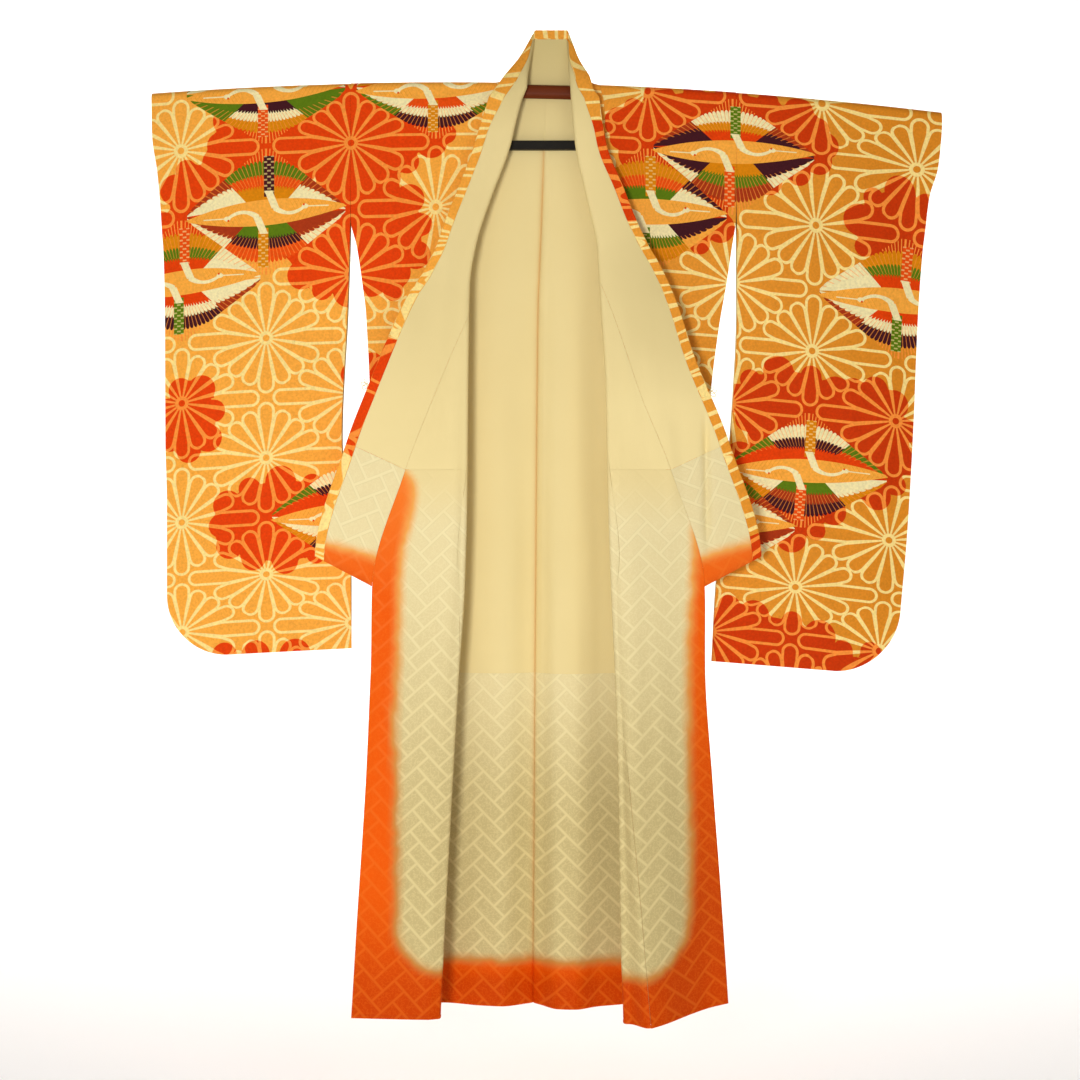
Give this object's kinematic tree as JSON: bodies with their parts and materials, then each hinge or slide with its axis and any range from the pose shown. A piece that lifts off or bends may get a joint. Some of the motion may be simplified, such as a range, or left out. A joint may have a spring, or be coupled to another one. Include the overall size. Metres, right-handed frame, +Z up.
{
  "type": "furisode on a hanging bar",
  "caption": "Long-sleeved lined silk kimono hung open on a bowed wooden bar, its fronts turned out so that the lining and the ombre hem show.",
  "frame": {"origin": "middle of the top of the bar that carries the shoulders", "axes": "+Z up, +X along the bar to the viewer's right, +Y from the open front to the back"},
  "size_m": [1.339, 0.1609, 1.665],
  "materials": {
    "outer_silk": "patterned crepe silk, soft sheen",
    "upper_lining": "plain cream silk",
    "lower_lining": "figured cream silk, orange at its borders",
    "bar_wood": "varnished red-brown",
    "bar_black": "satin black"
  },
  "bodies": {
    "root": {"body_left": "outer_silk", "body_right": "outer_silk", "okumi_left": "outer_silk", "okumi_right": "outer_silk", "sleeve_left": "outer_silk", "sleeve_right": "outer_silk", "collar": "outer_silk", "lining_left": "upper_lining", "lining_right": "upper_lining", "okumi_lining_left": "upper_lining", "okumi_lining_right": "upper_lining", "collar_lining": "upper_lining", "lower_lining_back_left": "lower_lining", "lower_lining_back_right": "lower_lining", "lower_lining_front_left": "lower_lining", "lower_lining_front_right": "lower_lining", "okumi_lower_lining_left": "lower_lining", "okumi_lower_lining_right": "lower_lining", "collar_end_left": "lower_lining", "collar_end_right": "lower_lining", "bar": "bar_wood", "lower_bar": "bar_black", "link_left": "bar_black", "link_right": "bar_black"}
  },
  "joints": []
}
